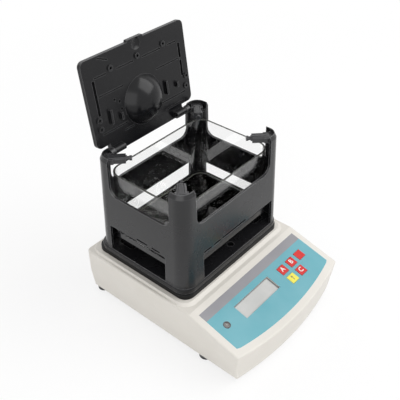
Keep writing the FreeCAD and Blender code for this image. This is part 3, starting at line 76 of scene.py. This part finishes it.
# The colour sockets of a Mix node.
MIX_FACTOR, MIX_FIRST, MIX_SECOND, MIX_RESULT = 0, 6, 7, 2


class Tree:
    """Shader nodes of a material or of the world."""

    def __init__(self, tree):
        self.nodes = tree.nodes
        self.links = tree.links

    def feed(self, target, source):
        """Gives an input a socket to read, or a constant."""
        if isinstance(source, bpy.types.NodeSocket):
            self.links.new(source, target)
        elif target.type == "RGBA":
            target.default_value = (*source, 1)
        else:
            target.default_value = source

    def assign(self, node, values):
        """Gives each value to the node's input of that name, or else to its setting."""
        for key, value in values.items():
            name = key.replace("_", " ")
            if name in node.inputs:
                self.feed(node.inputs[name], value)
            else:
                setattr(node, key, value)

    def node(self, kind, **values):
        """New node with its values."""
        node = self.nodes.new(kind)
        self.assign(node, values)
        return node

    def place(self):
        """Object coordinates, in metres."""
        return self.node("ShaderNodeTexCoord").outputs["Object"]

    def combine(self, kind, operation, first, second):
        """Number that an operation makes of two inputs."""
        node = self.node(kind, operation=operation)
        self.feed(node.inputs[0], first)
        self.feed(node.inputs[1], second)
        return node.outputs["Value"]

    def numbers(self, operation, first, second):
        return self.combine("ShaderNodeMath", operation, first, second)

    def vectors(self, operation, first, second):
        return self.combine("ShaderNodeVectorMath", operation, first, second)

    def along(self, direction):
        """Distance from the origin along a direction."""
        return self.vectors("DOT_PRODUCT", self.place(), direction)

    def distance(self, centre):
        """Distance from a point."""
        return self.vectors("DISTANCE", self.place(), centre)

    def ramp(self, source, low, high, start=0.35, end=0.65):
        """low where the source is at start, high where it is at end."""
        return self.node("ShaderNodeMapRange", Value=source, From_Min=start, From_Max=end,
                         To_Min=low, To_Max=high).outputs["Result"]

    def seen(self):
        """1 for rays from the camera, by reflection or through clear things."""
        path = self.node("ShaderNodeLightPath").outputs
        mirrored = self.numbers("MAXIMUM", path["Is Camera Ray"], path["Is Glossy Ray"])
        return self.numbers("MAXIMUM", mirrored, path["Is Transmission Ray"])


class Shader(Tree):
    """A Principled material with its own nodes."""

    def __init__(self, name, **values):
        self.material = bpy.data.materials.new(name)
        self.material.use_nodes = True
        super().__init__(self.material.node_tree)
        self.surface(**values)

    def surface(self, **values):
        """Gives the material's own inputs their values."""
        self.assign(self.nodes["Principled BSDF"], values)

    def noise(self, scale, detail=4.0, rough=0.55, stretch=(1, 1, 1)):
        """Noise from about 0.3 to 0.7, with its scale in cycles per metre."""
        place = self.node("ShaderNodeMapping", Vector=self.place(), Scale=stretch)
        return self.node("ShaderNodeTexNoise", Vector=place.outputs["Vector"], Scale=scale,
                         Detail=detail, Roughness=rough).outputs["Fac"]

    def mix(self, factor, first, second):
        """Colour between two colours or sockets."""
        mix = self.node("ShaderNodeMix", data_type="RGBA")
        self.feed(mix.inputs[MIX_FACTOR], factor)
        self.feed(mix.inputs[MIX_FIRST], first)
        self.feed(mix.inputs[MIX_SECOND], second)
        return mix.outputs[MIX_RESULT]

    def clouds(self, noise, first, second):
        """Two tones in soft clouds."""
        return self.mix(self.ramp(self.noise(*noise), 0, 1), first, second)

    def patches(self, noise, rough):
        """Roughness that wanders between two values."""
        return self.ramp(self.noise(*noise), *rough)

    def disc(self, centre, radius, blur):
        """1 within a radius of a point, 0 beyond its blurred edge."""
        return self.ramp(self.distance(centre), 1, 0, radius, radius + blur)

    def bump(self, source, relief, **under):
        """Relief from a source, with its strength and depth, and the Normal that it adds to."""
        strength, depth = relief
        return self.node("ShaderNodeBump", Height=source, Strength=strength, Distance=depth,
                         **under).outputs["Normal"]

    def unshaded(self, reach=0.0025, closed=0.35, free=0.85):
        """1 on open faces, towards 0 down in grooves, slots and corners, where shade is painted."""
        hollow = self.node("ShaderNodeAmbientOcclusion", samples=8, only_local=True, Distance=reach)
        return self.ramp(hollow.outputs["AO"], 0, 1, closed, free)

    def edges(self, radius=0.0012, turned=0.86, flat=0.99):
        """0 on flat faces, about 1 where the surface turns sharply."""
        rounded = self.node("ShaderNodeBevel", samples=4, Radius=radius).outputs["Normal"]
        real = self.node("ShaderNodeNewGeometry").outputs["Normal"]
        return self.ramp(self.vectors("DOT_PRODUCT", rounded, real), 1.0, 0.0, turned, flat)


# ---- kinds of material ----------------------------------------------------------------------
# A noise is (cycles per metre, detail, roughness, stretch), a relief is (strength, depth), and
# rough is the roughness of the glossiest and of the dullest patches.

MOULD_CLOUDS, MOULD_PATCHES = (14, 3), (45, 5)
MOULD_WAVES, WAVE_RELIEF = (9, 2), (0.12, 0.0012)
GRAIN_DETAIL, GRAIN_ROUGH, GRAIN_DEPTH = 2, 0.6, 0.0001
GROOVE_SHADE_TONE = 0.6      # share of the colour left down in grooves, as painted shade
GROOVE_SHADE_SHINE = 0.15    # share of the shine left there, as painted shade
DIM_BLEND = 0.005      # height over which the painted shade of a dim part gives way to its full shine


def moulded(name, base, dark, light, rough, grain, specular=0.5, dim_below=None):
    """Moulded plastic: faint cloudy tone, fine spark-eroded grain and uneven gloss, with painted shade
    down in grooves.

    base and dark are its two tones, light is the tone of its edges, a painted highlight, and grain
    is the scale and strength of its grain. dim_below is a height and the share of the shine that is
    left below it, as painted shade.
    """
    shader = Shader(name, Specular_IOR_Level=specular)
    unshaded = shader.unshaded()
    # Painted highlight: sharp edges take the lighter tone.
    tone = shader.mix(shader.edges(), shader.clouds(MOULD_CLOUDS, dark, base), light)
    shine = (1, 1, 1)
    # Painted shade: below the given height the shine is cut to a share.
    if dim_below is not None:
        height, share = dim_below
        risen = shader.ramp(shader.along(UP), 0, 1, height, height + DIM_BLEND)
        shine = shader.mix(risen, (share,) * 3, shine)
    waves = shader.bump(shader.noise(*MOULD_WAVES), WAVE_RELIEF)
    scale, strength = grain
    fine = shader.noise(scale, GRAIN_DETAIL, GRAIN_ROUGH)
    # Painted shade: colour and shine are darker down in grooves, slots and corners.
    shader.surface(
        Base_Color=shader.mix(unshaded, [channel * GROOVE_SHADE_TONE for channel in base], tone),
        Specular_Tint=shader.mix(unshaded, (GROOVE_SHADE_SHINE,) * 3, shine),
        Roughness=shader.patches(MOULD_PATCHES, rough),
        Normal=shader.bump(fine, (strength, GRAIN_DEPTH), Normal=waves))
    return shader.material


METAL_CLOUDS = (30, 3)
METAL_MARKS = (900, 3, 0.6)
MARK_RELIEF = (0.15, 0.0001)
DULL_METAL = 0.85      # share of the colour in the duller clouds
DRAWN_X = (0.03, 1, 1)
DRAWN_Z = (1, 1, 0.05)


def metal(name, base, rough, stretch, anisotropy):
    """Metal with drawn or turned marks along the direction that stretch shortens."""
    shader = Shader(name, Metallic=1.0, Anisotropic=anisotropy)
    marks = shader.noise(*METAL_MARKS, stretch)
    shader.surface(
        Base_Color=shader.clouds(METAL_CLOUDS, base, [channel * DULL_METAL for channel in base]),
        Roughness=shader.ramp(marks, *rough),
        Normal=shader.bump(marks, MARK_RELIEF))
    return shader.material


FILM_CLOUDS, FILM_PATCHES, FILM_ROUGH = (22, 3), (60, 3), (0.30, 0.40)
VELVET, VELVET_DEPTH = (5200, 2), 0.00004


def film(name, base, dark, velvet):
    """Printed polyester film: nearly even colour under a fine velvet texture."""
    shader = Shader(name, Specular_IOR_Level=0.45)
    shader.surface(
        Base_Color=shader.clouds(FILM_CLOUDS, dark, base),
        Roughness=shader.patches(FILM_PATCHES, FILM_ROUGH),
        Normal=shader.bump(shader.noise(*VELVET), (velvet, VELVET_DEPTH)))
    return shader.material


def acrylic(name):
    """Clear moulded acrylic with faint flow marks; its edges look milky and a little olive."""
    clear, milky = (0.998, 1.0, 0.997), (0.50, 0.51, 0.44)
    edge_radius, edge_clearness = 0.0014, 0.35
    flow_marks, flow_relief = (16, 2, 0.4, (1, 1, 0.5)), (0.04, 0.0006)
    shader = Shader(name, Roughness=0.015, IOR=1.46)
    edge = shader.edges(edge_radius)
    shader.surface(
        Base_Color=shader.mix(edge, clear, milky),
        Transmission_Weight=shader.ramp(edge, 1.0, edge_clearness, 0, 1),
        Normal=shader.bump(shader.noise(*flow_marks), flow_relief))
    return shader.material


def spirit_level(name):
    """Round level from above: grey-brown liquid, a dark ring mark and a paler bubble."""
    dark_liquid, liquid = (0.085, 0.08, 0.075), (0.115, 0.11, 0.10)
    mark, bubble = (0.045, 0.04, 0.04), (0.22, 0.22, 0.20)
    mark_inner, mark_outer, mark_blur = 0.00130, 0.00150, 0.00010
    bubble_radius, bubble_blur, bubble_shift = 0.00075, 0.00015, 0.0002
    centre = on_top("level_vial")
    bubble_centre = centre + bubble_shift * (RIGHT - DOWN_SLOPE)
    shader = Shader(name)
    fluid = shader.clouds((400, 2), dark_liquid, liquid)
    marked = shader.mix(shader.disc(centre, mark_outer, mark_blur), fluid, mark)
    marked = shader.mix(shader.disc(centre, mark_inner, mark_blur), marked, fluid)
    in_bubble = shader.disc(bubble_centre, bubble_radius, bubble_blur)
    shader.surface(
        Base_Color=shader.mix(in_bubble, marked, bubble),
        Roughness=shader.patches((90, 2), (0.06, 0.12)))
    return shader.material


def display_glass(name):
    """Liquid-crystal pane: pale grey reflector, with a painted shadow of its recess along its upper
    and right edges.
    """
    dark_grey, grey = (0.42, 0.425, 0.41), (0.50, 0.50, 0.485)
    upper_shadow_tone, upper_solid, upper_end = (0.17, 0.17, 0.175), 0.0004, 0.0016
    right_shadow_tone, right_end, right_solid = (0.19, 0.18, 0.19), 0.0024, 0.0009
    corner = box_of("display_window")[1]
    upper, right = corner.dot(DOWN_SLOPE), corner.x
    shader = Shader(name, Specular_IOR_Level=0.6)
    # Painted shadow of the recess: the pane darkens along its upper and right edges.
    at_upper = shader.ramp(shader.along(DOWN_SLOPE), 1, 0, upper + upper_solid, upper + upper_end)
    at_right = shader.ramp(shader.along(RIGHT), 0, 1, right - right_end, right - right_solid)
    tone = shader.mix(at_upper, shader.clouds((26, 3), dark_grey, grey), upper_shadow_tone)
    shader.surface(
        Base_Color=shader.mix(at_right, tone, right_shadow_tone),
        Roughness=shader.patches((60, 2), (0.18, 0.26)),
        Normal=shader.bump(shader.noise(4000, 2), (0.05, 0.00003)))
    return shader.material


def rubber(name):
    """Dull black rubber with a coarse grain."""
    dark, base = (0.018, 0.018, 0.019), (0.03, 0.03, 0.031)
    shader = Shader(name)
    shader.surface(
        Base_Color=shader.clouds((60, 4), dark, base),
        Roughness=shader.patches((140, 4), (0.7, 0.9)),
        Normal=shader.bump(shader.noise(1800, 3), (0.35, 0.0002)))
    return shader.material


def circuit(name):
    """Green solder mask with traces on a grid."""
    mask, pale_mask, trace = (0.015, 0.14, 0.05), (0.02, 0.18, 0.07), (0.06, 0.30, 0.12)
    shader = Shader(name, Roughness=0.35)
    grid = shader.node("ShaderNodeTexBrick", Vector=shader.place(), Scale=160.0, Color1=mask,
                       Color2=pale_mask, Mortar=trace)
    shader.surface(
        Base_Color=grid.outputs["Color"],
        Normal=shader.bump(grid.outputs["Fac"], (0.3, 0.0001)))
    return shader.material


# ---- materials of the nodes -----------------------------------------------------------------

FLANGE_TOP = 0.0725    # height of the measuring frame's flange

IVORY = moulded("ivory_moulding", base=(0.72, 0.69, 0.64), dark=(0.695, 0.665, 0.61),
                light=(0.78, 0.755, 0.71), rough=(0.40, 0.50), grain=(2600, 0.22))
# Painted shade: the frame keeps only 0.3 of its shine below its flange's top.
FRAME_BLACK = moulded("frame_moulding", base=(0.0125, 0.0125, 0.014), dark=(0.009, 0.009, 0.010),
                      light=(0.12, 0.12, 0.124), rough=(0.20, 0.30), grain=(3000, 0.07),
                      specular=0.47, dim_below=(FLANGE_TOP, 0.3))
# The deck plate's black is darker and duller than the frame's: partly its own black, partly painted
# shade from the frame above it.
DECK_BLACK = moulded("deck_moulding", base=(0.0065, 0.0065, 0.007), dark=(0.005, 0.005, 0.005),
                     light=(0.02, 0.02, 0.02), rough=(0.34, 0.44), grain=(2600, 0.2), specular=0.16)
LID_BLACK = moulded("lid_moulding", base=(0.009, 0.009, 0.010), dark=(0.006, 0.006, 0.007),
                    light=(0.08, 0.08, 0.082), rough=(0.17, 0.27), grain=(2400, 0.10), specular=0.25)
ARM_BLACK = moulded("arm_moulding", base=(0.03, 0.03, 0.032), dark=(0.022, 0.022, 0.024),
                    light=(0.10, 0.10, 0.105), rough=(0.22, 0.30), grain=(2400, 0.15))
GLOSS_BLACK = moulded("gloss_moulding", base=(0.011, 0.011, 0.012), dark=(0.008, 0.008, 0.009),
                      light=(0.05, 0.05, 0.052), rough=(0.14, 0.22), grain=(900, 0.06))
SOCKET = moulded("socket_moulding", base=(0.016, 0.016, 0.017), dark=(0.012, 0.012, 0.013),
                 light=(0.03, 0.03, 0.03), rough=(0.40, 0.50), grain=(2200, 0.2))
KEY_RED = moulded("key_red", base=(0.64, 0.022, 0.02), dark=(0.58, 0.018, 0.016),
                  light=(0.70, 0.07, 0.06), rough=(0.30, 0.40), grain=(4200, 0.2), specular=0.3)
KEY_YELLOW = moulded("key_yellow", base=(0.86, 0.78, 0.09), dark=(0.82, 0.73, 0.08),
                     light=(0.90, 0.84, 0.22), rough=(0.30, 0.40), grain=(4200, 0.2), specular=0.3)
DISPLAY_BODY = moulded("display_body", base=(0.42, 0.43, 0.41), dark=(0.38, 0.39, 0.37),
                       light=(0.5, 0.5, 0.5), rough=(0.4, 0.5), grain=(2000, 0.2))
TEAL = film("teal_film", base=(0.13, 0.39, 0.455), dark=(0.10, 0.36, 0.425), velvet=0.25)
GREY = film("grey_film", base=(0.275, 0.272, 0.292), dark=(0.25, 0.247, 0.267), velvet=0.25)
WHITE_INK = film("white_ink", base=(0.82, 0.81, 0.79), dark=(0.76, 0.75, 0.73), velvet=0.1)
GREY_INK = film("grey_ink", base=(0.30, 0.28, 0.12), dark=(0.25, 0.23, 0.10), velvet=0.1)
TANK = acrylic("clear_tank")
VIAL = spirit_level("level_liquid")
STEEL = metal("zinc_steel", (0.60, 0.60, 0.58), (0.25, 0.42), DRAWN_Z, anisotropy=0.3)
PLATE = metal("steel_plate", (0.55, 0.56, 0.57), (0.32, 0.5), DRAWN_X, anisotropy=0.4)
ALUMINIUM = metal("milled_aluminium", (0.80, 0.80, 0.81), (0.22, 0.4), DRAWN_X, anisotropy=0.4)
BRASS = metal("turned_brass", (0.78, 0.58, 0.26), (0.2, 0.38), DRAWN_Z, anisotropy=0.3)
RUBBER = rubber("foot_rubber")
BOARD = circuit("circuit_board")
LCD = display_glass("display_pane")

CORNERS = ("fl", "fr", "rl", "rr")
LOOKS = {
    IVORY: ("housing_top", "housing_bottom"),
    FRAME_BLACK: ("measuring_frame",),
    DECK_BLACK: ("deck_plate",),
    LID_BLACK: ("lid",),
    ARM_BLACK: [part + corner for part in ("corner_arm_", "foot_screw_") for corner in CORNERS],
    GLOSS_BLACK: ("tank_stand", "level_ring"),
    SOCKET: ("power_inlet", "data_socket"),
    KEY_RED: ("key_red_1", "key_red_2", "key_red_3", "key_red_4"),
    KEY_YELLOW: ("key_yellow",),
    DISPLAY_BODY: ("display_module",),
    TEAL: ("panel_overlay",),
    GREY: ("header_strip",),
    TANK: ("water_tank",),
    VIAL: ("level_vial",),
    STEEL: ("housing_screws", "chassis_screws", "deck_screws", "stand_screws", "arm_screws",
            "hinge_pins", "key_domes"),
    PLATE: ("base_chassis", "carrier_plate"),
    ALUMINIUM: ("load_cell", "cell_spacer", "carrier_spacer", "carrier_risers"),
    BRASS: ("foot_bushes",),
    RUBBER: ["foot_pad_" + corner for corner in CORNERS],
    BOARD: ("key_board", "main_board"),
    LCD: ("display_window",),
}
for material, names in LOOKS.items():
    for name in names:
        for slot in NODES[name].material_slots:
            slot.material = material


# ---- signs on the keys ----------------------------------------------------------------------

KEY_LOW, KEY_HIGH = box_of("key_yellow")
KEY_SIDE = KEY_HIGH.x - KEY_LOW.x
INK = 0.00004                       # thickness of the print
# Shares of the key's side; the arrow's are measured from the key's middle.
LETTER_SIZE, LETTER_WEIGHT = 0.60, 0.012
ARROW_TAIL, ARROW_NECK, ARROW_TIP = -0.24, 0.06, 0.26
ARROW_STEM, ARROW_BARB = 0.035, 0.14


def sign(thing, key, material):
    """Prints a flat thing on a key, upright for whoever stands at the nose."""
    thing.matrix_world = (Matrix.Translation(on_top(key) + OUT_OF_PANEL * INK)
                          @ Matrix.Rotation(TILT, 4, "X"))
    thing.data.materials.append(material)
    bpy.context.collection.objects.link(thing)
    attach(thing, key)


def letter(text, key):
    """One letter on a key."""
    curve = bpy.data.curves.new("letter_" + text.lower(), "FONT")
    curve.body = text
    curve.size = LETTER_SIZE * KEY_SIDE
    curve.offset = LETTER_WEIGHT * KEY_SIDE
    curve.extrude = INK / 2
    curve.align_x, curve.align_y = "CENTER", "CENTER"
    sign(bpy.data.objects.new(curve.name, curve), key, WHITE_INK)


def arrow(key):
    """Arrow up the slope: the right half of its outline, mirrored, and raised by the ink."""
    half = ((ARROW_STEM, ARROW_TAIL), (ARROW_STEM, ARROW_NECK), (ARROW_BARB, ARROW_NECK),
            (0.0, ARROW_TIP))
    outline = list(half) + [(-x, y) for x, y in reversed(half[:-1])]
    mesh = bmesh.new()
    face = mesh.faces.new([mesh.verts.new((x * KEY_SIDE, y * KEY_SIDE, -INK / 2)) for x, y in outline])
    raised = bmesh.ops.extrude_face_region(mesh, geom=[face])["geom"]
    top = [item for item in raised if isinstance(item, bmesh.types.BMVert)]
    bmesh.ops.translate(mesh, verts=top, vec=(0, 0, INK))
    bmesh.ops.recalc_face_normals(mesh, faces=mesh.faces)
    data = bpy.data.meshes.new("key_arrow")
    mesh.to_mesh(data)
    mesh.free()
    sign(bpy.data.objects.new("key_arrow", data), key, GREY_INK)


for text, key in (("A", "key_red_1"), ("B", "key_red_2"), ("C", "key_red_4")):
    letter(text, key)
arrow("key_yellow")


# ---- floor and world ------------------------------------------------------------------------

WHITE, FLOOR_TONE = (1, 1, 1), (0.9, 0.9, 0.9)
FLOOR_SIDE, FLOOR_GAP = 12, 0.0002
NEAR, FAR = 0.3, 0.9                # radii between which the floor turns to plain white
WHITE_NEAR, WHITE_FAR = 0.76, 1.0   # share of plain white at those radii
WORLD_LIGHT, WORLD_SEEN = 0.42, 1.0  # strength of its light and of its look


def floor():
    """Plain pale floor that shows the object's shadow and turns to plain white outwards."""
    bpy.ops.mesh.primitive_plane_add(size=FLOOR_SIDE, location=(0, 0, -FLOOR_GAP))
    plane = bpy.context.object
    plane.name = "floor"
    material = bpy.data.materials.new("floor")
    material.use_nodes = True
    tree = Tree(material.node_tree)
    tree.nodes.clear()
    outwards = tree.ramp(tree.distance((0, 0, 0)), WHITE_NEAR, WHITE_FAR, NEAR, FAR)
    mix = tree.node("ShaderNodeMixShader", Fac=tree.numbers("MULTIPLY", tree.seen(), outwards))
    lit = tree.node("ShaderNodeBsdfDiffuse", Color=FLOOR_TONE)
    white = tree.node("ShaderNodeEmission", Color=WHITE)
    tree.feed(mix.inputs[1], lit.outputs[0])
    tree.feed(mix.inputs[2], white.outputs[0])
    tree.node("ShaderNodeOutputMaterial", Surface=mix.outputs[0])
    plane.data.materials.append(material)


def world():
    """White surroundings that light the object more dimly than they look."""
    studio = bpy.data.worlds.new("studio")
    studio.use_nodes = True
    bpy.context.scene.world = studio
    tree = Tree(studio.node_tree)
    strength = tree.ramp(tree.seen(), WORLD_LIGHT, WORLD_SEEN, 0, 1)
    tree.assign(tree.nodes["Background"], {"Color": WHITE, "Strength": strength})


# ---- lamps and camera -----------------------------------------------------------------------

LAMP_TARGET = Vector((0, 0, 0.1))
LAMPS = {                           # place, size in metres, watts
    "key": ((0.9, -0.9, 1.5), (1.7, 1.7), 27),
    "fill": ((-1.3, -0.6, 0.7), (1.6, 1.5), 10),
    "back": ((0.1, 1.3, 1.3), (2.0, 1.0), 9),
}

CAMERA_PLACE = (-0.39807, -0.32206, 0.52152)
TURN = math.radians(49.346)         # right of +Y
PITCH = math.radians(37.413)        # down from level
ROLL = math.radians(0.443)          # clockwise
SENSOR_WIDTH = 36.0
FOCAL_PIXELS, FRAME_PIXELS = 638.4, 400   # focal length and frame width in pixels
LENS_SHIFT = (-0.00265, -0.0018)          # shares of the frame width


def lamp(name, place, size, power):
    """Rectangular soft light that faces the object."""
    data = bpy.data.lights.new(name, "AREA")
    data.shape = "RECTANGLE"
    data.size, data.size_y = size
    data.energy = power
    thing = bpy.data.objects.new(name, data)
    bpy.context.collection.objects.link(thing)
    thing.location = place
    thing.rotation_mode = "QUATERNION"
    thing.rotation_quaternion = (LAMP_TARGET - Vector(place)).to_track_quat("-Z", "Y")


def camera():
    """The photograph's viewpoint."""
    data = bpy.data.cameras.new("camera")
    data.sensor_width = SENSOR_WIDTH
    data.lens = SENSOR_WIDTH * FOCAL_PIXELS / FRAME_PIXELS
    data.shift_x, data.shift_y = LENS_SHIFT
    ahead = Vector((math.sin(TURN) * math.cos(PITCH), math.cos(TURN) * math.cos(PITCH),
                    -math.sin(PITCH)))
    level_right = ahead.cross(UP).normalized()
    level_up = level_right.cross(ahead)
    right = level_right * math.cos(ROLL) - level_up * math.sin(ROLL)
    up = level_up * math.cos(ROLL) + level_right * math.sin(ROLL)
    basis = Matrix((right, up, -ahead)).transposed().to_4x4()
    thing = bpy.data.objects.new("camera", data)
    bpy.context.collection.objects.link(thing)
    thing.matrix_world = Matrix.Translation(CAMERA_PLACE) @ basis
    bpy.context.scene.camera = thing


floor()
world()
for name, (place, size, power) in LAMPS.items():
    lamp(name, place, size, power)
camera()
bpy.context.scene.view_settings.view_transform = "Standard"
